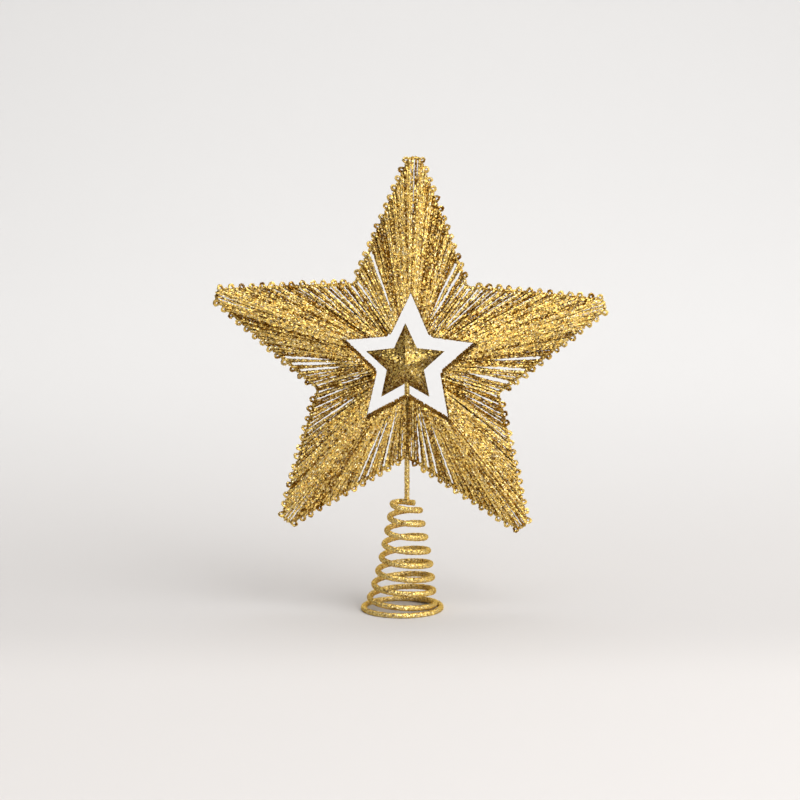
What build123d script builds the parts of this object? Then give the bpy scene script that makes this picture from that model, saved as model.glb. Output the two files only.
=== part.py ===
from build123d import *

import math
import os

import numpy as np

# A gold tree topper star, in millimetres. +Z is up and the star faces -Y.
# The origin is on the floor, under the neck of the conical coil that slips over the tree's top twig.

# Wire gauges and the clearance left between wires that lie on each other
coil_wire = 3.1
stem_wire = 3.0
frame_wire = 1.4
strand_wire = 0.58
wire_clearance = 0.15

# Conical coil foot: a flat base turn, working turns and an inward curl that carries the stem
# The neck stands a little to the left of the stem, the base more so, and the turns between less and less
base_flat_depth = 0.5
base_turn_radius = 22.1
base_turn_draw_in = 3.7
neck_shift = 0.75
base_shift = 2.7
shifted_turns = 4.0
shift_fade = 1.5
first_turn = -0.25
flat_turns = 0.75
last_turn = 8.5
turn_pitch = 7.45
turn_draw_in = 1.5
curl_radius = 3.25
curl_rise = 0.6
curl_sweep_deg = 120
curl_tail = 4.6
stem_seat_gap = 0.2
stem_chamfer = 0.5

# Star head: where its centre stands, and how far it leans to its right on the stem
star_centre_height = 136.4
star_offset = 1.0
star_roll_deg = 1.5
star_points = 5

# Outer frame: blunt tips and the notches between the arms
outer_tip_reach = 109.5
outer_tip_half_width = 2.5
outer_notch_radius = 51.0
outer_bend_radius = 1.5

# Opening frames: two star outlines, one in front of the other
opening_tip_radius = 42.2
opening_notch_radius = 20.0
opening_bend_radius = 1.2
opening_half_depth = 8.0

# Windings: one wire on each half arm, with an eyelet at each turn round the outer frame
# The last turn is a plain wrap by the notch, and keeps clear of the stem at the bottom notch
# The turns on the opening frames stand wider apart towards the arm's tip, where the runs slant most
eyelets = 13
crowding_share = 0.3
inner_tip_margin = 4.0
inner_notch_margin = 1.4
outer_tip_margin = 2.0
outer_notch_margin = 6.4
notch_wrap_margin = 2.2
stem_wrap_margin = 4.3
wrap_half_width = 0.5
wrap_reach = 1.45
wrap_half_depth = 0.85
eyelet_half_width = 1.25
eyelet_shoulder = 2.05
eyelet_shoulder_depth = 0.7
eyelet_reach = 3.3
eyelet_crown_half_width = 0.6
eyelet_crown_depth = 0.35
end_hook = 2.0
strand_sides = 6

# Centre star: two hollow faceted halves on the top of the stem
centre_tip_radius = 22.1
centre_notch_radius = 10.5
centre_star_drop = 1.05
centre_star_shift = 0.9
centre_rim = 0.7
centre_crown = 6.3
centre_wall = 1.0
centre_crown_wall = 2.0
stem_end_drop = 3.0
stem_fit = 0.1

# Spacing of the places at which the gap of a wire to itself is measured
gap_step = 0.5

half_step = math.pi / star_points
wire_seat = (frame_wire + strand_wire) / 2 + wire_clearance
base_height = coil_wire / 2 - base_flat_depth

os.makedirs("parts", exist_ok=True)


def save(piece, name):
    """Label a finished piece and write it to its own file."""
    piece.label = name
    export_step(piece, f"parts/{name}.step")


def least_gap(points, gauge):
    """Least surface gap of a wire to itself, measured at even steps along its centre line."""
    places = np.array([tuple(p) for p in points])
    spans = np.linalg.norm(np.diff(places, axis=0), axis=1)
    run = np.concatenate([[0], np.cumsum(spans)])
    even = np.arange(0, run[-1], gap_step)
    fine = np.stack([np.interp(even, run, places[:, axis]) for axis in range(3)], axis=1)
    apart = math.ceil(math.pi * gauge / gap_step)
    nearest = min(
        np.linalg.norm(fine[i + apart :] - fine[i], axis=1).min() for i in range(len(fine) - apart)
    )
    return nearest - gauge


def biarc(start, start_dir, end, end_dir):
    """Two tangent arcs from one point and direction to another."""
    span = end - start
    turn = 2 * (1 - start_dir.dot(end_dir))
    lean = span.dot(start_dir + end_dir)
    reach = (math.sqrt(lean**2 + turn * span.dot(span)) - lean) / turn
    middle = (start + end + (start_dir - end_dir) * reach) / 2
    first = TangentArc(start, middle, tangent=start_dir)
    TangentArc(middle, end, tangent=first % 1)


def coil_point(turn):
    """Centre of the coil wire, some turns on from the right of its base, going front, left, rear."""
    radius = base_turn_radius - base_turn_draw_in * min(turn, 1) - turn_draw_in * max(turn - 1, 0)
    height = base_height + turn_pitch * max(turn - flat_turns, 0)
    shift = neck_shift + base_shift * max(1 - max(turn - flat_turns, 0) / shifted_turns, 0) ** shift_fade
    angle = 2 * math.pi * turn
    return Vector(radius * math.cos(angle) - shift, -radius * math.sin(angle), height)


def coil_direction(turn):
    """Direction of the coil wire at a turn."""
    nudge = 1e-3
    return (coil_point(turn + nudge) - coil_point(turn - nudge)).normalized()


# Conical coil, with the curl at its top that ends under the stem
quarter_turns = [first_turn + step / 4 for step in range(int((last_turn - first_turn) * 4) + 1)]
curl_start = coil_point(last_turn)
curl_sweep = math.radians(curl_sweep_deg)
tail_direction = Vector(math.sin(curl_sweep), math.cos(curl_sweep), 0)
curl_end = curl_start + Vector(
    curl_radius * (1 - math.cos(curl_sweep)), curl_radius * math.sin(curl_sweep), curl_rise
)
stem_foot = curl_end + tail_direction * (-curl_end.X / tail_direction.X)
tail_end = stem_foot + tail_direction * curl_tail
star_plane = stem_foot.Y

with BuildPart() as base_coil:
    with BuildLine() as coil_route:
        for low, high in zip(quarter_turns, quarter_turns[1:]):
            biarc(coil_point(low), coil_direction(low), coil_point(high), coil_direction(high))
        biarc(curl_start, coil_direction(last_turn), curl_end, tail_direction)
        Line(curl_end, tail_end)
    with BuildSketch(Plane(origin=coil_point(first_turn), z_dir=coil_direction(first_turn))):
        Circle(coil_wire / 2)
    sweep()
    split(bisect_by=Plane.XY, keep=Keep.TOP)
save(base_coil.part, "base_coil")

coil_axis = coil_route.wires()[0]
coil_steps = math.ceil(coil_axis.length / gap_step)
coil_points = [coil_axis @ (step / coil_steps) for step in range(coil_steps + 1)]
print("coil length", round(coil_axis.length, 1), "least gap", round(least_gap(coil_points, coil_wire), 2))

# Stem, from the coil's tail up into the centre star
centre_star_height = star_centre_height - centre_star_drop
stem_bottom = stem_foot.Z + coil_wire / 2 + stem_seat_gap
stem_top = centre_star_height - stem_end_drop
stem_plane = Plane(origin=(0, star_plane, stem_bottom))

with BuildPart() as stem:
    with BuildSketch(stem_plane):
        Circle(stem_wire / 2)
    extrude(amount=stem_top - stem_bottom)
    chamfer(stem.faces().sort_by(Axis.Z)[-1].edges(), length=stem_chamfer)
save(stem.part, "stem")


def on_star(side, radial, depth, arm):
    """A place on the head: beside and along an arm, and behind the star's middle plane."""
    turn = 2 * half_step * arm + math.radians(star_roll_deg)
    x = side * math.cos(turn) + radial * math.sin(turn)
    z = radial * math.cos(turn) - side * math.sin(turn)
    return Vector(star_offset + x, star_plane + depth, star_centre_height + z)


def wire_loop(corners, bend_radius):
    """A closed round wire through the corners, bent to a radius at each."""
    with BuildPart() as loop:
        with BuildLine() as route:
            FilletPolyline(*corners, radius=bend_radius, close=True)
        with BuildSketch(Plane(origin=route.line @ 0, z_dir=route.line % 0)):
            Circle(frame_wire / 2)
        sweep()
    return loop.part


# Outer frame: a bent wire whose two ends are coped to the stem at the bottom notch
notch_side = math.sin(half_step)
notch_along = math.cos(half_step)
outer_corners = []
for arm in range(star_points):
    outer_corners.append(on_star(-outer_tip_half_width, outer_tip_reach, 0, arm))
    outer_corners.append(on_star(outer_tip_half_width, outer_tip_reach, 0, arm))
    outer_corners.append(
        on_star(outer_notch_radius * notch_side, outer_notch_radius * notch_along, 0, arm)
    )

with BuildPart() as outer_frame:
    add(wire_loop(outer_corners, outer_bend_radius))
    with BuildSketch(stem_plane):
        Circle(stem_wire / 2 + wire_clearance)
    extrude(amount=stem_top - stem_bottom, mode=Mode.SUBTRACT)
save(outer_frame.part, "outer_frame")

# Front and rear opening frames
for name, depth in (("front_opening_frame", -opening_half_depth), ("rear_opening_frame", opening_half_depth)):
    corners = []
    for arm in range(star_points):
        corners.append(on_star(0, opening_tip_radius, depth, arm))
        corners.append(
            on_star(opening_notch_radius * notch_side, opening_notch_radius * notch_along, depth, arm)
        )
    save(wire_loop(corners, opening_bend_radius), name)

# Edges of the right half of an upright arm, as places beside and along it
inner_tip = Vector(0, opening_tip_radius)
inner_notch = Vector(notch_side, notch_along) * opening_notch_radius
outer_tip = Vector(outer_tip_half_width, outer_tip_reach)
outer_notch = Vector(notch_side, notch_along) * outer_notch_radius
inner_edge = (inner_notch - inner_tip).normalized()
outer_edge = (outer_notch - outer_tip).normalized()
outwards = Vector(-outer_edge.Y, outer_edge.X)
to_opening = Vector(inner_edge.Y, -inner_edge.X)
inner_length = (inner_notch - inner_tip).length
outer_length = (outer_notch - outer_tip).length
wound_length = inner_length - inner_tip_margin - inner_notch_margin
outer_pitch = (outer_length - outer_tip_margin - outer_notch_margin) / (eyelets - 1)


def rim_place(loop):
    """Place of a loop's bend on the opening side of an opening frame."""
    part_way = loop / (eyelets + 1 / 2)
    part_way += crowding_share * part_way * (1 - part_way)
    return inner_tip + inner_edge * (inner_tip_margin + wound_length * part_way) + to_opening * wire_seat


def rim_depth(bend, frame_leg):
    """Depth of a bend at an opening frame, so that the run from the outer frame lies on that frame."""
    beside = (bend - frame_leg).dot(to_opening) - wire_seat
    above = opening_half_depth - wire_seat
    slope = math.atan2(above, -beside) - math.asin(wire_seat / math.hypot(beside, above))
    return wire_seat - (wire_seat + beside) * math.tan(slope)


def winding_route(arm, mirror_side, wrap_margin):
    """Corners of the wire on half an arm: front run, eyelet, rear run and a crossing in the opening."""
    route = []

    def mark(place, depth):
        route.append(on_star(mirror_side * place.X, place.Y, depth, arm))

    for loop in range(eyelets + 1):
        is_wrap = loop == eyelets
        front_rim = rim_place(loop)
        rear_rim = rim_place(loop + 1 / 2)
        along = outer_length - wrap_margin if is_wrap else outer_tip_margin + loop * outer_pitch
        half_width = wrap_half_width if is_wrap else eyelet_half_width
        on_frame = outer_tip + outer_edge * along
        front_leg = on_frame - outer_edge * half_width
        rear_leg = on_frame + outer_edge * half_width
        crown = on_frame + outwards * eyelet_reach
        if loop == 0:
            mark(front_rim, -(opening_half_depth - end_hook))
        mark(front_rim, -rim_depth(front_rim, front_leg))
        mark(front_leg, -wire_seat)
        if is_wrap:
            mark(front_leg + outwards * wrap_reach, -wrap_half_depth)
            mark(rear_leg + outwards * wrap_reach, wrap_half_depth)
        else:
            mark(front_leg + outwards * eyelet_shoulder, -eyelet_shoulder_depth)
            mark(crown - outer_edge * eyelet_crown_half_width, -eyelet_crown_depth)
            mark(crown + outer_edge * eyelet_crown_half_width, eyelet_crown_depth)
            mark(rear_leg + outwards * eyelet_shoulder, eyelet_shoulder_depth)
        mark(rear_leg, wire_seat)
        mark(rear_rim, rim_depth(rear_rim, rear_leg))
    mark(rear_rim, opening_half_depth - end_hook)
    return route


# Windings, two to an arm, named clockwise from the top arm as seen from the front
arm_halves = {
    "top_arm": ("left", "right"),
    "right_arm": ("upper", "lower"),
    "lower_right_arm": ("outer", "inner"),
    "lower_left_arm": ("inner", "outer"),
    "left_arm": ("lower", "upper"),
}
for arm, (arm_name, halves) in enumerate(arm_halves.items()):
    for half, mirror_side in zip(halves, (-1, 1)):
        wrap_margin = stem_wrap_margin if half == "inner" else notch_wrap_margin
        corners = winding_route(arm, mirror_side, wrap_margin)
        with BuildPart() as winding:
            with BuildLine():
                Polyline(*corners)
            with BuildSketch(Plane(origin=corners[0], z_dir=corners[1] - corners[0])):
                RegularPolygon(radius=strand_wire / 2, side_count=strand_sides)
            sweep(transition=Transition.RIGHT)
        save(winding.part, f"{arm_name}_{half}_winding")
print("winding least gap", round(least_gap(winding_route(0, 1, notch_wrap_margin), strand_wire), 2))


def star_outline(tip_radius, notch_radius):
    """Ten corners of a five-pointed star with one tip up."""
    corners = []
    for arm in range(star_points):
        for radius, angle in ((tip_radius, 2 * arm * half_step), (notch_radius, (2 * arm + 1) * half_step)):
            corners.append((radius * math.sin(angle), radius * math.cos(angle)))
    return corners


# Centre star: front and rear halves, each a hollow faceted pyramid over a low rim
for name, facing in (("centre_star_front", -1), ("centre_star_rear", 1)):
    seat = (-centre_star_shift, star_plane, centre_star_height)
    middle = Plane(origin=seat, x_dir=(-facing, 0, 0), z_dir=(0, facing, 0))
    apex = middle.from_local_coords(Vector(0, 0, centre_rim + centre_crown))
    hollow_apex = middle.from_local_coords(Vector(0, 0, centre_rim + centre_crown - centre_crown_wall))
    with BuildPart() as half_star:
        with BuildSketch(middle) as outline:
            with BuildLine():
                Polyline(*star_outline(centre_tip_radius, centre_notch_radius), close=True)
            make_face()
        extrude(outline.sketch, amount=centre_rim)
        with BuildSketch(middle.offset(centre_rim)) as shoulder:
            add(outline.sketch_local)
        loft(sections=[shoulder.sketch, Vertex(*apex)], ruled=True)
        with BuildSketch(middle) as hollow:
            add(outline.sketch_local)
            offset(amount=-centre_wall, kind=Kind.INTERSECTION, mode=Mode.REPLACE)
        loft(sections=[hollow.sketch, Vertex(*hollow_apex)], ruled=True, mode=Mode.SUBTRACT)
        with BuildSketch(stem_plane) as stem_groove:
            Circle(stem_wire / 2 + stem_fit)
        extrude(stem_groove.sketch, amount=stem_top - stem_bottom, mode=Mode.SUBTRACT)
    save(half_star.part, name)
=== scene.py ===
import math
import random

import bmesh
import bpy
from bpy.props import FloatProperty, FloatVectorProperty, IntProperty, PointerProperty
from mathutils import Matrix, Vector


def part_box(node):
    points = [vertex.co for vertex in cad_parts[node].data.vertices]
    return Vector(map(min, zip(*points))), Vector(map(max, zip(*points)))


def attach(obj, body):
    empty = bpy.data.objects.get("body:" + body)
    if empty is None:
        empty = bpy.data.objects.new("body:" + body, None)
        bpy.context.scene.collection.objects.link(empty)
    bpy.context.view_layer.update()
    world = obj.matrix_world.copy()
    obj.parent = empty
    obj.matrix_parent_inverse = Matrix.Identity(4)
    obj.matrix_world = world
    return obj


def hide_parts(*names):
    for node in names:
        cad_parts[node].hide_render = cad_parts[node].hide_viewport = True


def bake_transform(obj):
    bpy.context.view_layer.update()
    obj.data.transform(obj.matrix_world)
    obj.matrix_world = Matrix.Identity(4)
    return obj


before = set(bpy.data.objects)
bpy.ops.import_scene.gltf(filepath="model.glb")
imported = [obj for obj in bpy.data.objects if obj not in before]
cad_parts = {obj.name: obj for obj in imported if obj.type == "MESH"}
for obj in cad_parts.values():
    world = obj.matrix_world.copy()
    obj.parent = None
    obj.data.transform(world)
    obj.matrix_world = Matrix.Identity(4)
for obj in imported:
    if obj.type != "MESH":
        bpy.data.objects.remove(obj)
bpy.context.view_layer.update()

bl_info = {
    "name": "Tree Topper Star",
    "version": (1, 0, 0),
    "blender": (4, 5, 0),
    "location": "3D View > Sidebar > Topper",
    "description": "Glitter-coated wire star on a conical coil, dressed over its packed parts",
    "category": "Object",
}

MM = 0.001

# Wires and coil of the part, in millimetres
FRAME_WIRE = 1.4
STRAND_WIRE = 0.58
WIRE_CLEARANCE = 0.15
WIRE_SEAT = (FRAME_WIRE + STRAND_WIRE) / 2 + WIRE_CLEARANCE
BASE_HEIGHT = 1.05
BASE_TURN_RADIUS = 22.1
BASE_TURN_DRAW_IN = 3.7
NECK_SHIFT = 0.75
BASE_SHIFT = 2.7
SHIFTED_TURNS = 4.0
SHIFT_FADE = 1.5
FIRST_TURN = -0.25
FLAT_TURNS = 0.75
LAST_TURN = 8.5
TURN_PITCH = 7.45
TURN_DRAW_IN = 1.5
CURL_RADIUS = 3.25
CURL_RISE = 0.6
CURL_SWEEP = math.radians(120)
CURL_TAIL = 4.6

# Star frames, windings and centre star of the part, in millimetres
STAR_HEIGHT = 136.4
STAR_OFFSET = 1.0
STAR_ROLL = math.radians(1.5)
STAR_POINTS = 5
HALF_STEP = math.pi / STAR_POINTS
OUTER_TIP_REACH = 109.5
OUTER_TIP_HALF_WIDTH = 2.5
OUTER_NOTCH_RADIUS = 51.0
OPENING_TIP_RADIUS = 42.2
OPENING_NOTCH_RADIUS = 20.0
OPENING_HALF_DEPTH = 8.0
EYELETS = 13
CROWDING_SHARE = 0.3
REAR_TURN = 1 / 4
INNER_TIP_MARGIN = 4.0
INNER_NOTCH_MARGIN = 1.4
OUTER_NOTCH_MARGIN = 6.4
CENTRE_TIP_RADIUS = 22.1
CENTRE_NOTCH_RADIUS = 10.5
CENTRE_DROP = 1.05
CENTRE_SHIFT = 0.9
CENTRE_RIM = 0.7
CENTRE_CROWN = 6.3

# Dressed windings, in millimetres and in shares of the slack, the gauge or a radius
OUTER_TIP_MARGIN = 1.3
RIM_SLACK = 0.5
FRAME_SLACK = 0.7
RIM_SHARE = 0.75
WRAP_SHARE = 0.75
# Painted shade: tone of the strands on the wall inside the opening, darker for the shade that falls there
SHADED_TONE = -1.6
WALL_DEPTH = OPENING_HALF_DEPTH * 0.8
TIP_RUN_RIM = Vector((0.35, OPENING_TIP_RADIUS - 2.9))
TIP_RUN_END = Vector((0.95, OUTER_TIP_REACH))
TIP_RUN_STEP = Vector((0.3, -0.8))
TIP_RUN_DEPTH = OPENING_HALF_DEPTH + WIRE_SEAT * 0.7
TIP_RUN_HOOK = 2.0
EYELET_SEAT = 0.3
EYELET_SPREAD = 0.1
EYELET_TWIST = 0.6
EYELET_DRIFT = 0.3
EYELET_LEG = 0.8
EYELET_STATIONS = (-0.66, -0.44, -0.22, 0, 0.22, 0.44, 0.66)
WRAP_HALF_WIDTH = 0.5
WRAP_REACH = 0.85
WRAP_HALF_DEPTH = 0.85
OPEN_EYELETS = 5
OPEN_SHARE = 0.5

# Short wrap round the outer frame only: places along it, outwards from it and behind it
SHORT_WRAP = (
    (-0.5, 0, WIRE_SEAT),
    (-0.25, -1.6 * WIRE_SEAT, 0),
    (0, -0.5, -WIRE_SEAT),
    (0.25, WIRE_SEAT, 0),
    (0.3, -0.5, WIRE_SEAT),
)

# Last wraps by a notch, each as its turn along the opening and its distance from the notch
NOTCH_WRAPS = ((12.9, 3.6), (14.1, 0.8))
STEM_WRAPS = ((12.9, 4.3), (13.6, 2.2), (14.2, 0.7))
STEM_WRAP_MARGIN = 4.3
STEM_SEAT = 2.4

# Coats: steps along a bent wire, facets of its section and shares of the flake length and relief
COIL_STEPS = 1400
CURL_STEPS = 12
COIL_SECTION = 5
STEM_SECTION = 4
FRAME_SECTION = 2
STRAND_SECTION = 1
COIL_FLAKE_LENGTH = 0.85
COIL_RELIEF = 0.4
STEM_RELIEF = 0.55
CENTRE_RELIEF = 0.3
FACET_DRIFT = 0.6
BEND_ROUNDS = 2
OUTER_BEND_ROUNDS = 3

# Mesh of the centre star, in millimetres, with a slanting direction that puts its elements in a set order
CENTRE_BEVEL = 0.22
CENTRE_BEVEL_STEPS = 2
CENTRE_LONG_EDGE = 1.2
CENTRE_CUTS = 3
CENTRE_CUT_ROUNDS = 2
ORDER_WAY = Vector((0.8313, 0.3171, 0.4567))

# Steps from the main seed to those of the single pieces
STEM_SEED = 1
FRAMES_SEED = 2
WINDINGS_SEED = 10
CENTRE_SEED = 40

# Flake size in millimetres, tilt, share of pale flakes, shade and metal of each coat
GLITTER_COATS = {
    "Coil glitter": (0.45, 0.85, 0.42, 0.93, 0.85),
    # The frame coat is darker partly as painted shade, for the opening frames that show on the shaded wall
    # inside the opening; the outer frame shares it
    "Frame glitter": (0.55, 0.9, 0.10, 0.7, 0.8),
    "Strand glitter": (0.85, 1.1, 0.36, 0.98, 0.85),
    "Centre star glitter": (0.8, 0.45, 0.22, 0.69, 0.9),
}
COAT_SPECULAR = 0.3
PATCHES_PER_METRE = 160.0
PATCH_DETAIL = 2.0
PATCH_WEIGHT = 0.8
TONE_AND_SHADE_WEIGHT = 0.55
PALE_STREAK_WEIGHT = 0.14
MID_LEVEL = 0.55
FLAKE_ROUGHNESS = (0.12, 0.45)

# Stage, in metres
SWEEP_HALF_WIDTH = 30.0
SWEEP_WALL_DISTANCE = 1.6
SWEEP_WALL_HEIGHT = 4.0
SWEEP_BEND = 1.0
SWEEP_BEND_STEPS = 16
# Painted light on the floor: gain on the floor colour in front of the topper, and the span of depth over
# which it fades in
FRONT_PAINTED_LIGHT = 1.12
FRONT_PAINTED_LIGHT_FADE = (-0.02, -0.16)
REAR_FADE = (-0.15, 1.0)
PAPER_ROUGHNESS = 0.9
PAPER_SPECULAR = 0.1
LAMP_AIM = Vector((0, 0, 0.12))
LAMP_PLACES = {
    "Key lamp": (1.3, (0.85, -0.7, 0.95)),
    "Top lamp": (1.6, (0.0, 0.1, 1.6)),
    "Fill lamp": (0.7, (-0.9, -0.9, 0.55)),
}
ROOM_TINT = (1.0, 0.98, 0.96, 1.0)
ROOM_BRIGHT_WAY = (0.8, 0.2, 0.5)
ROOM_FADE = (-0.4, 0.8)
CAMERA_AIM = Vector((-3.8, 0, 115.75)) * MM
SENSOR_WIDTH = 36.0

# Arms clockwise from the top, with the names of their halves
ARM_HALVES = {
    "top_arm": ("left", "right"),
    "right_arm": ("upper", "lower"),
    "lower_right_arm": ("outer", "inner"),
    "lower_left_arm": ("inner", "outer"),
    "left_arm": ("lower", "upper"),
}


class TopperSizes(bpy.types.PropertyGroup):
    strand_gauge: FloatProperty(
        name="Strand gauge", description="Thickness of a strand with its glitter coat",
        default=1.5 * MM, min=0.4 * MM, max=2.5 * MM, unit="LENGTH", precision=5,
    )
    eyelet_gauge: FloatProperty(
        name="Eyelet gauge", description="Thickness of a strand with its glitter coat in an eyelet",
        default=1.45 * MM, min=0.4 * MM, max=2.5 * MM, unit="LENGTH", precision=5,
    )
    frame_gauge: FloatProperty(
        name="Frame gauge", description="Thickness of a frame wire with its glitter coat",
        default=1.6 * MM, min=0.8 * MM, max=3.0 * MM, unit="LENGTH", precision=5,
    )
    coil_gauge: FloatProperty(
        name="Coil gauge", description="Thickness of the coil wire with its glitter coat",
        default=3.15 * MM, min=1.0 * MM, max=5.0 * MM, unit="LENGTH", precision=5,
    )
    stem_gauge: FloatProperty(
        name="Stem gauge", description="Thickness of the stem with its glitter coat",
        default=2.8 * MM, min=1.0 * MM, max=5.0 * MM, unit="LENGTH", precision=5,
    )
    flake_length: FloatProperty(
        name="Flake length", description="Length of a glitter facet along a strand",
        default=0.8 * MM, min=0.3 * MM, max=3.0 * MM, unit="LENGTH", precision=5,
    )
    flake_relief: FloatProperty(
        name="Flake relief", description="How far the glitter facets stand in and out of the coat",
        default=0.24 * MM, min=0.0, max=0.5 * MM, unit="LENGTH", precision=5,
    )
    eyelet_radius: FloatProperty(
        name="Eyelet radius", description="Radius of an eyelet at the middle of its strand",
        default=1.3 * MM, min=0.8 * MM, max=2.5 * MM, unit="LENGTH", precision=5,
    )
    winding_slack: FloatProperty(
        name="Winding slack", description="How unevenly the strands are laid along the frames",
        default=0.5 * MM, min=0.0, max=1.0 * MM, unit="LENGTH", precision=5,
    )
    seed: IntProperty(
        name="Seed", description="Starts the uneven winding and the glitter facets", default=7, min=0,
    )


class TopperColours(bpy.types.PropertyGroup):
    deep_gold: FloatVectorProperty(
        name="Deep gold", description="Darkest glitter flakes",
        default=(0.23, 0.092, 0.004), subtype="COLOR", size=3, min=0.0, max=1.0,
    )
    mid_gold: FloatVectorProperty(
        name="Mid gold", description="Most of the glitter flakes",
        default=(0.93, 0.67, 0.19), subtype="COLOR", size=3, min=0.0, max=1.0,
    )
    pale_gold: FloatVectorProperty(
        name="Pale gold", description="Brightest glitter flakes",
        default=(1.0, 0.87, 0.55), subtype="COLOR", size=3, min=0.0, max=1.0,
    )
    floor: FloatVectorProperty(
        name="Floor", description="Pale floor round the topper",
        default=(0.58, 0.562, 0.551), subtype="COLOR", size=3, min=0.0, max=1.0,
    )
    backdrop: FloatVectorProperty(
        name="Backdrop", description="Pale backdrop far behind the topper",
        default=(0.835, 0.829, 0.824), subtype="COLOR", size=3, min=0.0, max=1.0,
    )


class TopperStage(bpy.types.PropertyGroup):
    camera_distance: FloatProperty(
        name="Camera distance", description="Distance from the camera to its aim",
        default=1.2, min=0.3, max=5.0, unit="LENGTH",
    )
    camera_elevation: FloatProperty(
        name="Camera elevation", description="Height of the view above the horizon",
        default=math.radians(8.2), min=0.0, max=math.pi / 2, subtype="ANGLE",
    )
    camera_lens: FloatProperty(
        name="Camera lens", description="Focal length of the camera in millimetres",
        default=99.78, min=20.0, max=300.0,
    )
    key_power: FloatProperty(
        name="Key lamp", description="Power of the key lamp", default=14.0, min=0.0, unit="POWER",
    )
    top_power: FloatProperty(
        name="Top lamp", description="Power of the lamp overhead", default=12.5, min=0.0, unit="POWER",
    )
    fill_power: FloatProperty(
        name="Fill lamp", description="Power of the fill lamp", default=1.0, min=0.0, unit="POWER",
    )
    room_dim: FloatProperty(
        name="Room dim side", description="Strength of soft light from the room's dim left",
        default=0.06, min=0.0,
    )
    room_bright: FloatProperty(
        name="Room bright side", description="Strength of soft light from the room's bright right",
        default=1.0, min=0.0,
    )


def coil_point(turn):
    """Centre of the coil wire in millimetres, at a count of turns up from its base."""
    radius = BASE_TURN_RADIUS - BASE_TURN_DRAW_IN * min(turn, 1) - TURN_DRAW_IN * max(turn - 1, 0)
    height = BASE_HEIGHT + TURN_PITCH * max(turn - FLAT_TURNS, 0)
    shift = NECK_SHIFT + BASE_SHIFT * max(1 - max(turn - FLAT_TURNS, 0) / SHIFTED_TURNS, 0) ** SHIFT_FADE
    angle = 2 * math.pi * turn
    return Vector((radius * math.cos(angle) - shift, -radius * math.sin(angle), height))


def coil_curl(sweep):
    """Centre of the wire along the inward curl at the top of the coil."""
    return coil_point(LAST_TURN) + Vector(
        (CURL_RADIUS * (1 - math.cos(sweep)), CURL_RADIUS * math.sin(sweep), CURL_RISE * sweep / CURL_SWEEP)
    )


TAIL_DIRECTION = Vector((math.sin(CURL_SWEEP), math.cos(CURL_SWEEP), 0))
CURL_END = coil_curl(CURL_SWEEP)
STEM_FOOT = CURL_END + TAIL_DIRECTION * (-CURL_END.x / TAIL_DIRECTION.x)
STAR_PLANE = STEM_FOOT.y


def on_star(side, radial, depth, arm):
    """A place on the head in millimetres: beside and along an arm, and behind the star's middle plane."""
    turn = 2 * HALF_STEP * arm + STAR_ROLL
    x = side * math.cos(turn) + radial * math.sin(turn)
    z = radial * math.cos(turn) - side * math.sin(turn)
    return Vector((STAR_OFFSET + x, STAR_PLANE + depth, STAR_HEIGHT + z))


# Edges of the right half of an upright arm, as places beside and along it
NOTCH_DIRECTION = Vector((math.sin(HALF_STEP), math.cos(HALF_STEP)))
INNER_TIP = Vector((0, OPENING_TIP_RADIUS))
INNER_NOTCH = NOTCH_DIRECTION * OPENING_NOTCH_RADIUS
OUTER_TIP = Vector((OUTER_TIP_HALF_WIDTH, OUTER_TIP_REACH))
OUTER_NOTCH = NOTCH_DIRECTION * OUTER_NOTCH_RADIUS
INNER_EDGE = (INNER_NOTCH - INNER_TIP).normalized()
OUTER_EDGE = (OUTER_NOTCH - OUTER_TIP).normalized()
OUTWARDS = Vector((-OUTER_EDGE.y, OUTER_EDGE.x))
TO_OPENING = Vector((INNER_EDGE.y, -INNER_EDGE.x))
WOUND_LENGTH = (INNER_NOTCH - INNER_TIP).length - INNER_TIP_MARGIN - INNER_NOTCH_MARGIN
OUTER_LENGTH = (OUTER_NOTCH - OUTER_TIP).length
OUTER_PITCH = (OUTER_LENGTH - OUTER_TIP_MARGIN - OUTER_NOTCH_MARGIN) / (EYELETS - 1)


def rim_place(loop, slack):
    """Place of a loop's bend on the opening side of an opening frame."""
    part_way = loop / (EYELETS + 1 / 2)
    part_way += CROWDING_SHARE * part_way * (1 - part_way)
    along = INNER_TIP_MARGIN + WOUND_LENGTH * part_way + slack
    return INNER_TIP + INNER_EDGE * along + TO_OPENING * WIRE_SEAT


def rim_depth(bend, frame_leg):
    """Depth of a bend at an opening frame, so that the run from the outer frame lies on that frame."""
    beside = (bend - frame_leg).dot(TO_OPENING) - WIRE_SEAT
    above = OPENING_HALF_DEPTH - WIRE_SEAT
    slope = math.atan2(above, -beside) - math.asin(WIRE_SEAT / math.hypot(beside, above))
    return WIRE_SEAT - (WIRE_SEAT + beside) * math.tan(slope)


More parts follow.
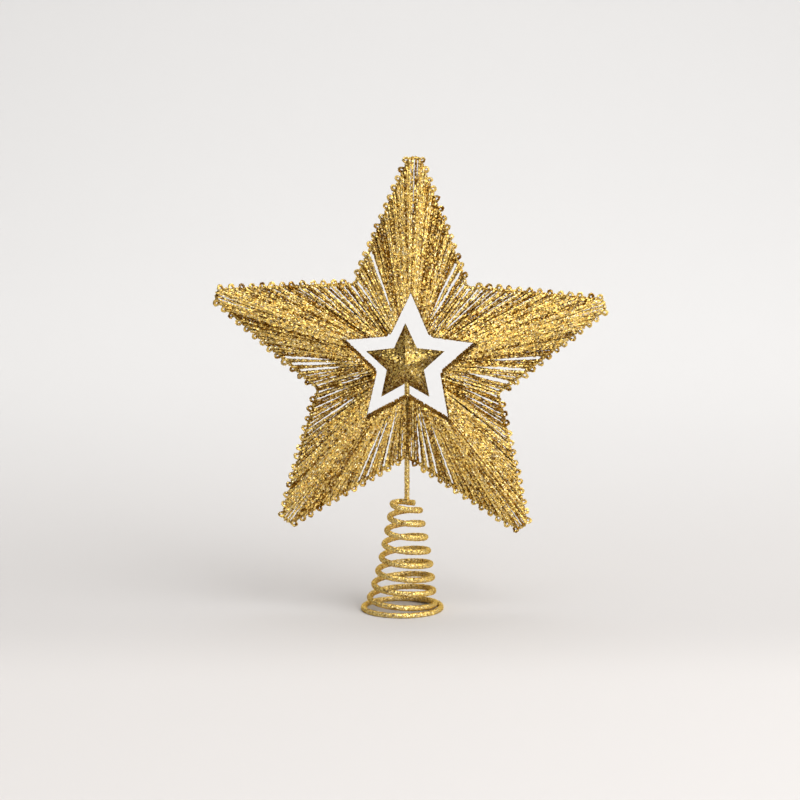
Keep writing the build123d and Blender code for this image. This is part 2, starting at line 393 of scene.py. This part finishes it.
def winding_route(arm, mirror_side, by_stem, sizes, dice):
    """Corners of the wire on half an arm, each with its share of the full gauge and its tone.

    The wire goes up the front, round an eyelet or the bare frame, and down the rear, again and again.
    """
    route = []
    slack = sizes.winding_slack / MM
    ring_radius = sizes.eyelet_radius / MM
    ring_share = sizes.eyelet_gauge / sizes.strand_gauge

    def mark(place, depth, tone, share):
        route.append((on_star(mirror_side * place.x, place.y, depth, arm), Vector((share, tone))))

    def turn(loop, front_leg, rear_leg, leg_depth, bend, bend_share):
        """One turn of the wire, which ends on the wall inside the opening, where its tone is darkened as
        painted shade.
        """
        tone = dice.uniform(-1, 1)
        rear_tone = dice.uniform(-1, 1)
        front_rim = rim_place(loop, dice.uniform(-slack, slack) * RIM_SLACK)
        rear_rim = rim_place(loop + REAR_TURN, dice.uniform(-slack, slack) * RIM_SLACK)
        mark(front_rim, -rim_depth(front_rim, front_leg), tone, RIM_SHARE)
        mark(front_leg, -leg_depth, tone, bend_share)
        for place, depth in bend:
            mark(place, depth, tone, bend_share)
        mark(rear_leg, leg_depth, rear_tone, bend_share)
        mark(rear_rim, rim_depth(rear_rim, rear_leg), rear_tone, RIM_SHARE)
        # Painted shade: the stretch of wire across the wall inside the opening gets a dark tone, for the
        # shade that falls there
        for depth in (WALL_DEPTH, -WALL_DEPTH):
            mark(rear_rim, depth, SHADED_TONE, RIM_SHARE)

    # A run each side of the arm's axis wraps the end of the frame's tip
    tone = dice.uniform(-1, 1)
    mark(TIP_RUN_RIM, -(OPENING_HALF_DEPTH - TIP_RUN_HOOK), tone, 1.0)
    mark(TIP_RUN_RIM, -TIP_RUN_DEPTH, tone, 1.0)
    mark(TIP_RUN_END, -WIRE_SEAT, tone, WRAP_SHARE)
    mark(TIP_RUN_END + Vector((0, WIRE_SEAT)), 0, tone, WRAP_SHARE)
    mark(TIP_RUN_END, WIRE_SEAT, tone, WRAP_SHARE)
    mark(TIP_RUN_RIM + TIP_RUN_STEP, TIP_RUN_DEPTH, tone, 1.0)

    # Eyelets take turns with plain wraps. Near the notch, short wraps on the frame stand in for some of them
    is_bare = False
    for half in range(2 * EYELETS - 1):
        is_plain = half % 2 == 1
        if is_plain and is_bare:
            continue
        near_notch = half >= 2 * (EYELETS - OPEN_EYELETS) - 2
        is_bare = near_notch and not is_plain and dice.random() < OPEN_SHARE
        along = OUTER_TIP_MARGIN + half / 2 * OUTER_PITCH
        on_frame = OUTER_TIP + OUTER_EDGE * (along + dice.uniform(-slack, slack) * FRAME_SLACK)
        if is_plain:
            side_step = OUTER_EDGE * WRAP_HALF_WIDTH
            bend = [
                (on_frame - side_step + OUTWARDS * WRAP_REACH, -WRAP_HALF_DEPTH),
                (on_frame + side_step + OUTWARDS * WRAP_REACH, WRAP_HALF_DEPTH),
            ]
            turn(half / 2, on_frame - side_step, on_frame + side_step, WIRE_SEAT, bend, WRAP_SHARE)
            continue
        radius = ring_radius * dice.uniform(1 - EYELET_SPREAD, 1 + EYELET_SPREAD)
        twist = dice.uniform(-EYELET_TWIST, EYELET_TWIST)
        drift = dice.uniform(-EYELET_DRIFT, EYELET_DRIFT)
        middle = on_frame + OUTWARDS * (radius + EYELET_SEAT) + OUTER_EDGE * drift
        bend = []
        for share in EYELET_STATIONS:
            angle = share * math.pi
            across = math.sin(angle) * radius
            place = middle + OUTER_EDGE * across * math.cos(twist) + OUTWARDS * math.cos(angle) * radius
            bend.append((place, across * math.sin(twist) + share * WIRE_SEAT))
        if is_bare:
            beside = on_frame + OUTER_EDGE * OUTER_PITCH / 2
            bend += [(beside + OUTER_EDGE * past + OUTWARDS * out, depth) for past, out, depth in SHORT_WRAP]
        side_step = OUTER_EDGE * radius * EYELET_LEG
        turn(half / 2, on_frame - side_step, on_frame + side_step, WIRE_SEAT, bend, ring_share)

    # The last wraps close the notch, where those by the stem cross it in front and behind
    for loop, margin in STEM_WRAPS if by_stem else NOTCH_WRAPS:
        on_frame = OUTER_TIP + OUTER_EDGE * (OUTER_LENGTH - margin)
        is_crossing = by_stem and margin < STEM_WRAP_MARGIN
        beside = OUTER_TIP + OUTER_EDGE * (OUTER_LENGTH - STEM_WRAP_MARGIN) if is_crossing else on_frame
        bend = [(beside + OUTWARDS * WRAP_REACH, depth) for depth in (-WRAP_HALF_DEPTH, WRAP_HALF_DEPTH)]
        turn(loop, on_frame, on_frame, STEM_SEAT if is_crossing else WIRE_SEAT, bend, WRAP_SHARE)
    return route


def stepped(corners, step, closed=False):
    """Places an even step apart along straight runs between corners, each with its gauge and tone."""
    places = []
    ends = corners[1:] + corners[:1] if closed else corners[1:]
    for (start, start_look), (end, end_look) in zip(corners, ends):
        count = max(1, round((end - start).length / step))
        for index in range(count):
            part = index / count
            places.append((start.lerp(end, part), start_look.lerp(end_look, part)))
    if not closed:
        places.append(corners[-1])
    return places


def softened(places, rounds, closed=False):
    """The same places with the corners between runs eased into bends."""
    for _ in range(rounds):
        count = len(places)
        eased = []
        for index, (place, look) in enumerate(places):
            (before, look_before), (after, look_after) = places[index - 1], places[(index + 1) % count]
            eased.append(((before + place * 2 + after) / 4, (look_before + look * 2 + look_after) / 4))
        if not closed:
            eased[0] = places[0]
            eased[-1] = places[-1]
        places = eased
    return places


def even(places):
    """Corners of a wire that has its full gauge and a plain tone all along."""
    return [(place, Vector((1, 0))) for place in places]


def wire_mesh(name, places, gauge, ring_steps, closed=False):
    """A round tube along places given in millimetres, as a mesh in metres that is open at a wire's ends."""
    line = bpy.data.curves.new(name + "_line", "CURVE")
    line.dimensions = "3D"
    line.bevel_depth = gauge / 2
    line.bevel_resolution = ring_steps
    spline = line.splines.new("POLY")
    spline.points.add(len(places) - 1)
    spline.points.foreach_set("co", [value for place, _ in places for value in (*(place * MM), 1.0)])
    spline.points.foreach_set("radius", [look.x for _, look in places])
    spline.use_cyclic_u = closed
    holder = bpy.data.objects.new(name + "_line", line)
    bpy.context.scene.collection.objects.link(holder)
    bpy.context.view_layer.update()
    mesh = bpy.data.meshes.new_from_object(holder.evaluated_get(bpy.context.evaluated_depsgraph_get()))
    bpy.data.objects.remove(holder)
    bpy.data.curves.remove(line)
    mesh.name = name
    ring_size = len(mesh.vertices) // len(places)
    # Tone of each vertex: random from strand to strand, and painted shade on the wall inside the opening
    tones = mesh.attributes.new("strand_tone_and_shade", "FLOAT", "POINT")
    tones.data.foreach_set("value", [look.y for _, look in places for _ in range(ring_size)])
    return mesh


def glitter_facets(mesh, relief, dice, floor=False):
    """Closes a coat and sets its vertices in and out, so that each face becomes a tilted glitter flake."""
    shape = bmesh.new()
    shape.from_mesh(mesh)
    bmesh.ops.holes_fill(shape, edges=[edge for edge in shape.edges if edge.is_boundary])
    bmesh.ops.recalc_face_normals(shape, faces=shape.faces)
    shape.normal_update()
    for vert in shape.verts:
        drift = Vector((dice.uniform(-1, 1), dice.uniform(-1, 1), dice.uniform(-1, 1)))
        vert.co += vert.normal * dice.uniform(-relief, relief) + drift * relief * FACET_DRIFT
        if floor:
            vert.co.z = max(vert.co.z, 0.0)
    bmesh.ops.triangulate(shape, faces=[f for f in shape.faces if len(f.verts) > 4])
    for face in shape.faces:
        face.smooth = False
    shape.to_mesh(mesh)
    shape.free()
    mesh.update()


def dressed_piece(name, mesh, material, replaced, body=None):
    """Places a finished mesh as a piece that stands for CAD nodes and rides on a body."""
    piece = bpy.data.objects.new(name, mesh)
    bpy.context.scene.collection.objects.link(piece)
    mesh.materials.clear()
    mesh.materials.append(material)
    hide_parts(*replaced)
    if body:
        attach(piece, body)
    return piece


def flake_group():
    """Glitter flakes as a shader node group: a colour, a roughness and a tilted normal for each flake."""
    found = bpy.data.node_groups.get("Glitter flakes")
    if found:
        return found
    group = bpy.data.node_groups.new("Glitter flakes", "ShaderNodeTree")
    for name, kind in (
        ("Flake size", "NodeSocketFloat"), ("Tilt", "NodeSocketFloat"), ("Pale share", "NodeSocketFloat"),
        ("Tone", "NodeSocketFloat"), ("Deep", "NodeSocketColor"), ("Mid", "NodeSocketColor"),
        ("Pale", "NodeSocketColor"),
    ):
        group.interface.new_socket(name, in_out="INPUT", socket_type=kind)
    for name, kind in (
        ("Color", "NodeSocketColor"), ("Roughness", "NodeSocketFloat"), ("Normal", "NodeSocketVector"),
    ):
        group.interface.new_socket(name, in_out="OUTPUT", socket_type=kind)
    nodes = group.nodes
    link = group.links.new
    given = nodes.new("NodeGroupInput")
    result = nodes.new("NodeGroupOutput")

    def maths(kind, first, second):
        node = nodes.new("ShaderNodeMath")
        node.operation = kind
        for socket, value in zip(node.inputs, (first, second)):
            if isinstance(value, (int, float)):
                socket.default_value = value
            else:
                link(value, socket)
        return node.outputs[0]

    place = nodes.new("ShaderNodeTexCoord")
    cells = nodes.new("ShaderNodeTexVoronoi")
    cells.feature = "F1"
    link(place.outputs["Object"], cells.inputs["Vector"])
    link(maths("DIVIDE", 1.0, given.outputs["Flake size"]), cells.inputs["Scale"])
    cells.inputs["Randomness"].default_value = 1.0
    parts = nodes.new("ShaderNodeSeparateColor")
    link(cells.outputs["Color"], parts.inputs[0])

    patches = nodes.new("ShaderNodeTexNoise")
    patches.inputs["Scale"].default_value = PATCHES_PER_METRE
    patches.inputs["Detail"].default_value = PATCH_DETAIL
    link(place.outputs["Object"], patches.inputs["Vector"])
    mottle = maths("MULTIPLY", maths("SUBTRACT", patches.outputs[0], 0.5), PATCH_WEIGHT)
    # The tone lightens or darkens each strand at random, and darkens the strands on the wall inside the
    # opening as painted shade
    streak_and_shade = maths("MULTIPLY", given.outputs["Tone"], TONE_AND_SHADE_WEIGHT)
    level = maths("ADD", maths("ADD", parts.outputs[0], mottle), streak_and_shade)

    deep_to_mid = nodes.new("ShaderNodeMix")
    deep_to_mid.data_type = "RGBA"
    rise = nodes.new("ShaderNodeMapRange")
    rise.inputs["From Max"].default_value = MID_LEVEL
    link(level, rise.inputs["Value"])
    link(rise.outputs[0], deep_to_mid.inputs["Factor"])
    link(given.outputs["Deep"], deep_to_mid.inputs["A"])
    link(given.outputs["Mid"], deep_to_mid.inputs["B"])
    to_pale = nodes.new("ShaderNodeMix")
    to_pale.data_type = "RGBA"
    gleam = nodes.new("ShaderNodeMapRange")
    link(maths("SUBTRACT", 1.0, given.outputs["Pale share"]), gleam.inputs["From Min"])
    paler = maths("MULTIPLY", given.outputs["Tone"], PALE_STREAK_WEIGHT)
    link(maths("ADD", parts.outputs[1], paler), gleam.inputs["Value"])
    link(gleam.outputs[0], to_pale.inputs["Factor"])
    link(deep_to_mid.outputs["Result"], to_pale.inputs["A"])
    link(given.outputs["Pale"], to_pale.inputs["B"])
    link(to_pale.outputs["Result"], result.inputs["Color"])

    polish = nodes.new("ShaderNodeMapRange")
    polish.inputs["To Min"].default_value, polish.inputs["To Max"].default_value = FLAKE_ROUGHNESS
    link(parts.outputs[2], polish.inputs["Value"])
    link(polish.outputs[0], result.inputs["Roughness"])

    surface = nodes.new("ShaderNodeNewGeometry")
    tip = nodes.new("ShaderNodeVectorMath")
    tip.operation = "SUBTRACT"
    link(cells.outputs["Color"], tip.inputs[0])
    tip.inputs[1].default_value = (0.5, 0.5, 0.5)
    lean = nodes.new("ShaderNodeVectorMath")
    lean.operation = "SCALE"
    link(tip.outputs[0], lean.inputs[0])
    link(given.outputs["Tilt"], lean.inputs["Scale"])
    tilted = nodes.new("ShaderNodeVectorMath")
    tilted.operation = "ADD"
    link(surface.outputs["Normal"], tilted.inputs[0])
    link(lean.outputs[0], tilted.inputs[1])
    unit = nodes.new("ShaderNodeVectorMath")
    unit.operation = "NORMALIZE"
    link(tilted.outputs[0], unit.inputs[0])
    link(unit.outputs[0], result.inputs["Normal"])
    return group


def glitter_finish(name):
    """A gold glitter coat with flakes of one size."""
    found = bpy.data.materials.get(name)
    if found:
        return found
    flake, tilt, pale_share, shade, metallic = GLITTER_COATS[name]
    colours = bpy.context.scene.topper_colours
    material = bpy.data.materials.new(name)
    material.use_nodes = True
    nodes = material.node_tree.nodes
    link = material.node_tree.links.new
    skin = nodes["Principled BSDF"]
    flakes = nodes.new("ShaderNodeGroup")
    flakes.node_tree = flake_group()
    flakes.inputs["Flake size"].default_value = flake * MM
    flakes.inputs["Tilt"].default_value = tilt
    flakes.inputs["Pale share"].default_value = pale_share
    # Strand tone, which also carries the painted shade on the wall inside the opening
    tone = nodes.new("ShaderNodeAttribute")
    tone.attribute_name = "strand_tone_and_shade"
    link(tone.outputs["Fac"], flakes.inputs["Tone"])
    golds = {"Deep": colours.deep_gold, "Mid": colours.mid_gold, "Pale": colours.pale_gold}
    for socket, gold in golds.items():
        flakes.inputs[socket].default_value = (*(value * shade for value in gold), 1.0)
    link(flakes.outputs["Color"], skin.inputs["Base Color"])
    link(flakes.outputs["Roughness"], skin.inputs["Roughness"])
    link(flakes.outputs["Normal"], skin.inputs["Normal"])
    skin.inputs["Metallic"].default_value = metallic
    skin.inputs["Specular IOR Level"].default_value = COAT_SPECULAR
    skin.inputs["Specular Tint"].default_value = (*colours.mid_gold, 1.0)
    return material


class TOPPER_OT_coil_foot(bpy.types.Operator):
    """Make the glitter-coated conical coil that the topper stands on"""

    bl_idname = "topper.coil_foot"
    bl_label = "Coil Foot"
    bl_options = {"REGISTER", "UNDO"}

    def execute(self, context):
        sizes = context.scene.topper_sizes
        dice = random.Random(sizes.seed)
        turns = LAST_TURN - FIRST_TURN
        route = [coil_point(FIRST_TURN + turns * index / COIL_STEPS) for index in range(COIL_STEPS)]
        route += [coil_curl(CURL_SWEEP * index / CURL_STEPS) for index in range(CURL_STEPS)]
        route += [CURL_END, STEM_FOOT + TAIL_DIRECTION * CURL_TAIL]
        places = softened(stepped(even(route), sizes.flake_length / MM * COIL_FLAKE_LENGTH), BEND_ROUNDS)
        mesh = wire_mesh("coil_wire", places, sizes.coil_gauge, COIL_SECTION)
        glitter_facets(mesh, sizes.flake_relief * COIL_RELIEF, dice, floor=True)
        finish = glitter_finish("Coil glitter")
        piece = dressed_piece("coil_wire", mesh, finish, ["base_coil"])
        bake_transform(piece)
        return {"FINISHED"}


class TOPPER_OT_stem(bpy.types.Operator):
    """Make the glitter-coated stem between the coil and the centre star"""

    bl_idname = "topper.stem"
    bl_label = "Stem"
    bl_options = {"REGISTER", "UNDO"}

    def execute(self, context):
        sizes = context.scene.topper_sizes
        dice = random.Random(sizes.seed + STEM_SEED)
        low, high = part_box("stem")
        middle = (low + high) / 2
        foot = Vector((middle.x, middle.y, low.z)) / MM
        top = Vector((middle.x, middle.y, high.z)) / MM
        places = stepped(even([foot, top]), sizes.flake_length / MM * COIL_FLAKE_LENGTH)
        mesh = wire_mesh("stem_wire", places, sizes.stem_gauge, STEM_SECTION)
        glitter_facets(mesh, sizes.flake_relief * STEM_RELIEF, dice)
        finish = glitter_finish("Coil glitter")
        dressed_piece("stem_wire", mesh, finish, ["stem"], "head")
        return {"FINISHED"}


class TOPPER_OT_frames(bpy.types.Operator):
    """Make the outer frame and the two frames round the opening"""

    bl_idname = "topper.frames"
    bl_label = "Frames"
    bl_options = {"REGISTER", "UNDO"}

    def execute(self, context):
        sizes = context.scene.topper_sizes
        dice = random.Random(sizes.seed + FRAMES_SEED)
        step = sizes.flake_length / MM
        finish = glitter_finish("Frame glitter")
        # The outer frame starts and ends at the notch over the stem
        outer = []
        for arm in (3, 4, 0, 1, 2):
            outer.append(on_star(-OUTER_TIP.x, OUTER_TIP.y, 0, arm))
            outer.append(on_star(*OUTER_TIP, 0, arm))
            outer.append(on_star(*OUTER_NOTCH, 0, arm))
        outer.insert(0, outer[-1].copy())
        places = softened(stepped(even(outer), step), OUTER_BEND_ROUNDS)
        mesh = wire_mesh("outer_frame_wire", places, sizes.frame_gauge, FRAME_SECTION)
        glitter_facets(mesh, sizes.flake_relief, dice)
        dressed_piece("outer_frame_wire", mesh, finish, ["outer_frame"], "head")
        for name, depth in (("front_opening", -OPENING_HALF_DEPTH), ("rear_opening", OPENING_HALF_DEPTH)):
            corners = []
            for arm in range(STAR_POINTS):
                corners.append(on_star(0, OPENING_TIP_RADIUS, depth, arm))
                corners.append(on_star(*INNER_NOTCH, depth, arm))
            places = softened(stepped(even(corners), step, closed=True), BEND_ROUNDS, closed=True)
            mesh = wire_mesh(name + "_wire", places, sizes.frame_gauge, FRAME_SECTION, closed=True)
            glitter_facets(mesh, sizes.flake_relief, dice)
            dressed_piece(name + "_wire", mesh, finish, [name + "_frame"], "head")
        return {"FINISHED"}


class TOPPER_OT_windings(bpy.types.Operator):
    """Wind the glitter-coated strands on both halves of every arm"""

    bl_idname = "topper.windings"
    bl_label = "Windings"
    bl_options = {"REGISTER", "UNDO"}

    def execute(self, context):
        sizes = context.scene.topper_sizes
        finish = glitter_finish("Strand glitter")
        for arm, (arm_name, halves) in enumerate(ARM_HALVES.items()):
            for half, mirror_side in zip(halves, (-1, 1)):
                dice = random.Random(sizes.seed + WINDINGS_SEED + 2 * arm + max(mirror_side, 0))
                route = winding_route(arm, mirror_side, half == "inner", sizes, dice)
                places = softened(stepped(route, sizes.flake_length / MM), BEND_ROUNDS)
                name = f"{arm_name}_{half}"
                mesh = wire_mesh(name + "_strands", places, sizes.strand_gauge, STRAND_SECTION)
                glitter_facets(mesh, sizes.flake_relief, dice)
                dressed_piece(
                    name + "_strands", mesh, finish, [name + "_winding"], "head"
                )
        return {"FINISHED"}


class TOPPER_OT_centre_star(bpy.types.Operator):
    """Make the two faceted halves of the centre star"""

    bl_idname = "topper.centre_star"
    bl_label = "Centre Star"
    bl_options = {"REGISTER", "UNDO"}

    def execute(self, context):
        sizes = context.scene.topper_sizes
        dice = random.Random(sizes.seed + CENTRE_SEED)
        finish = glitter_finish("Centre star glitter")
        for name, facing in (("front", -1), ("rear", 1)):
            shape = bmesh.new()
            circle = bmesh.ops.create_circle(shape, cap_ends=True, segments=2 * STAR_POINTS, radius=1.0)
            corners = circle["verts"]
            for index, corner in enumerate(corners):
                radius = CENTRE_NOTCH_RADIUS if index % 2 else CENTRE_TIP_RADIUS
                angle = index * HALF_STEP
                corner.co = Vector((math.sin(angle), 0, math.cos(angle))) * radius
            base = shape.faces[:]
            raised = bmesh.ops.extrude_face_region(shape, geom=base)["geom"]
            rim_verts = [item for item in raised if isinstance(item, bmesh.types.BMVert)]
            bmesh.ops.translate(shape, verts=rim_verts, vec=(0, facing * CENTRE_RIM, 0))
            crown = [item for item in raised if isinstance(item, bmesh.types.BMFace)]
            peak = bmesh.ops.poke(shape, faces=crown)["verts"]
            bmesh.ops.translate(shape, verts=peak, vec=(0, facing * CENTRE_CROWN, 0))
            bmesh.ops.recalc_face_normals(shape, faces=shape.faces)
            edges = [edge for edge in shape.edges if peak[0] in edge.verts]
            bmesh.ops.bevel(
                shape, geom=edges, offset=CENTRE_BEVEL, offset_type="OFFSET", segments=CENTRE_BEVEL_STEPS,
                profile=0.5, affect="EDGES", material=-1,
            )
            bmesh.ops.triangulate(shape, faces=shape.faces)
            for _ in range(CENTRE_CUT_ROUNDS):
                long_edges = [edge for edge in shape.edges if edge.calc_length() > CENTRE_LONG_EDGE]
                bmesh.ops.subdivide_edges(shape, edges=long_edges, cuts=CENTRE_CUTS, use_grid_fill=True)
                bmesh.ops.triangulate(shape, faces=shape.faces)
            centre = Vector((-CENTRE_SHIFT, STAR_PLANE, STAR_HEIGHT - CENTRE_DROP))
            bmesh.ops.translate(shape, verts=shape.verts, vec=centre)
            bmesh.ops.scale(shape, verts=shape.verts, vec=(MM, MM, MM))
            shape.verts.sort(key=lambda vert: vert.co.dot(ORDER_WAY))
            shape.edges.sort(key=lambda edge: sum((vert.co for vert in edge.verts), Vector()).dot(ORDER_WAY))
            shape.faces.sort(key=lambda face: face.calc_center_median().dot(ORDER_WAY))
            mesh = bpy.data.meshes.new(f"centre_star_{name}_shell")
            shape.to_mesh(mesh)
            shape.free()
            glitter_facets(mesh, sizes.flake_relief * CENTRE_RELIEF, dice)
            dressed_piece(
                f"centre_star_{name}_shell", mesh, finish, [f"centre_star_{name}"], "head"
            )
        return {"FINISHED"}


def eased_range(nodes, fade):
    """A node that maps a value from the first to the second end of a fade, with eased ends."""
    node = nodes.new("ShaderNodeMapRange")
    node.interpolation_type = "SMOOTHSTEP"
    node.inputs["From Min"].default_value, node.inputs["From Max"].default_value = fade
    return node


def paper_finish(colours):
    """Pale paper with painted light: lighter in front of the topper than where it stands, and fading to the
    backdrop behind it.
    """
    paper = bpy.data.materials.new("Backdrop paper")
    paper.use_nodes = True
    nodes = paper.node_tree.nodes
    link = paper.node_tree.links.new
    skin = nodes["Principled BSDF"]
    place = nodes.new("ShaderNodeTexCoord")
    axes = nodes.new("ShaderNodeSeparateXYZ")
    link(place.outputs["Object"], axes.inputs[0])
    # Painted light: the floor is painted lighter in front of the topper than where it stands
    front = eased_range(nodes, FRONT_PAINTED_LIGHT_FADE)
    link(axes.outputs["Y"], front.inputs["Value"])
    tone = nodes.new("ShaderNodeMix")
    tone.data_type = "RGBA"
    link(front.outputs[0], tone.inputs["Factor"])
    tone.inputs["A"].default_value = (*colours.floor, 1.0)
    tone.inputs["B"].default_value = (*(value * FRONT_PAINTED_LIGHT for value in colours.floor), 1.0)
    rear = eased_range(nodes, REAR_FADE)
    link(axes.outputs["Y"], rear.inputs["Value"])
    fade = nodes.new("ShaderNodeMix")
    fade.data_type = "RGBA"
    link(rear.outputs[0], fade.inputs["Factor"])
    link(tone.outputs["Result"], fade.inputs["A"])
    fade.inputs["B"].default_value = (*colours.backdrop, 1.0)
    link(fade.outputs["Result"], skin.inputs["Base Color"])
    skin.inputs["Roughness"].default_value = PAPER_ROUGHNESS
    skin.inputs["Specular IOR Level"].default_value = PAPER_SPECULAR
    return paper


def backdrop_sweep(scene, colours):
    """A floor that bends up into a wall behind the topper."""
    shape = bmesh.new()
    bmesh.ops.create_grid(shape, x_segments=1, y_segments=1, size=SWEEP_HALF_WIDTH)
    far_edge = [edge for edge in shape.edges if all(vert.co.y > 0 for vert in edge.verts)]
    for vert in far_edge[0].verts:
        vert.co.y = SWEEP_WALL_DISTANCE
    lifted = bmesh.ops.extrude_edge_only(shape, edges=far_edge)["geom"]
    top = [item for item in lifted if isinstance(item, bmesh.types.BMVert)]
    bmesh.ops.translate(shape, verts=top, vec=(0, 0, SWEEP_WALL_HEIGHT))
    bmesh.ops.bevel(
        shape, geom=far_edge, offset=SWEEP_BEND, offset_type="OFFSET", segments=SWEEP_BEND_STEPS,
        profile=0.5, affect="EDGES", material=-1,
    )
    bmesh.ops.recalc_face_normals(shape, faces=shape.faces)
    for face in shape.faces:
        face.smooth = True
    mesh = bpy.data.meshes.new("backdrop_sweep")
    shape.to_mesh(mesh)
    shape.free()
    mesh.materials.append(paper_finish(colours))
    sweep = bpy.data.objects.new("backdrop_sweep", mesh)
    scene.collection.objects.link(sweep)


def studio_lamps(scene, settings):
    """Soft lamps that point at the topper."""
    powers = (settings.key_power, settings.top_power, settings.fill_power)
    for (name, (size, place)), power in zip(LAMP_PLACES.items(), powers):
        lamp = bpy.data.lights.new(name, "AREA")
        lamp.energy = power
        lamp.size = size
        holder = bpy.data.objects.new(name, lamp)
        holder.location = place
        holder.rotation_euler = (LAMP_AIM - Vector(place)).to_track_quat("-Z", "Y").to_euler()
        scene.collection.objects.link(holder)


def studio_room(scene, settings):
    """Soft light all round, which is stronger from one side of the room."""
    world = bpy.data.worlds.new("Studio room")
    world.use_nodes = True
    nodes = world.node_tree.nodes
    link = world.node_tree.links.new
    back = nodes["Background"]
    back.inputs["Color"].default_value = ROOM_TINT
    direction = nodes.new("ShaderNodeTexCoord")
    towards = nodes.new("ShaderNodeVectorMath")
    towards.operation = "DOT_PRODUCT"
    link(direction.outputs["Generated"], towards.inputs[0])
    towards.inputs[1].default_value = ROOM_BRIGHT_WAY
    side = eased_range(nodes, ROOM_FADE)
    side.inputs["To Min"].default_value = settings.room_dim
    side.inputs["To Max"].default_value = settings.room_bright
    link(towards.outputs["Value"], side.inputs["Value"])
    link(side.outputs[0], back.inputs["Strength"])
    scene.world = world


def photo_camera(scene, settings):
    """The camera in front of the topper, a little above its middle."""
    camera = bpy.data.cameras.new("Photo camera")
    camera.lens = settings.camera_lens
    camera.sensor_width = SENSOR_WIDTH
    eye = bpy.data.objects.new("Photo camera", camera)
    tilt = settings.camera_elevation
    away = Vector((0, -math.cos(tilt), math.sin(tilt))) * settings.camera_distance
    eye.location = CAMERA_AIM + away
    eye.rotation_euler = (math.pi / 2 - tilt, 0, 0)
    scene.collection.objects.link(eye)
    scene.camera = eye


class TOPPER_OT_stage(bpy.types.Operator):
    """Set the pale floor, the soft studio lamps and the camera"""

    bl_idname = "topper.stage"
    bl_label = "Stage"
    bl_options = {"REGISTER", "UNDO"}

    def execute(self, context):
        scene = context.scene
        settings = scene.topper_stage
        backdrop_sweep(scene, scene.topper_colours)
        studio_lamps(scene, settings)
        studio_room(scene, settings)
        photo_camera(scene, settings)
        scene.view_settings.view_transform = "Standard"
        return {"FINISHED"}


class TOPPER_PT_sidebar(bpy.types.Panel):
    """Sizes, colours and pieces of the tree topper star"""

    bl_idname = "TOPPER_PT_sidebar"
    bl_label = "Tree Topper Star"
    bl_space_type = "VIEW_3D"
    bl_region_type = "UI"
    bl_category = "Topper"

    def draw(self, context):
        layout = self.layout
        for group in ("topper_sizes", "topper_colours", "topper_stage"):
            settings = getattr(context.scene, group)
            box = layout.box()
            for name in settings.__annotations__:
                box.prop(settings, name)
        for operator in OPERATORS:
            layout.operator(operator.bl_idname)


GROUPS = {"topper_sizes": TopperSizes, "topper_colours": TopperColours, "topper_stage": TopperStage}
OPERATORS = (
    TOPPER_OT_stage,
    TOPPER_OT_coil_foot,
    TOPPER_OT_stem,
    TOPPER_OT_frames,
    TOPPER_OT_windings,
    TOPPER_OT_centre_star,
)


def register():
    for cls in (*GROUPS.values(), *OPERATORS, TOPPER_PT_sidebar):
        bpy.utils.register_class(cls)
    for name, group in GROUPS.items():
        setattr(bpy.types.Scene, name, PointerProperty(type=group))


def unregister():
    for name in GROUPS:
        delattr(bpy.types.Scene, name)
    for cls in reversed((*GROUPS.values(), *OPERATORS, TOPPER_PT_sidebar)):
        bpy.utils.unregister_class(cls)


def main():
    register()
    bpy.ops.topper.stage()
    bpy.ops.topper.coil_foot()
    bpy.ops.topper.stem()
    bpy.ops.topper.frames()
    bpy.ops.topper.windings()
    bpy.ops.topper.centre_star()


if __name__ == "__main__":
    main()
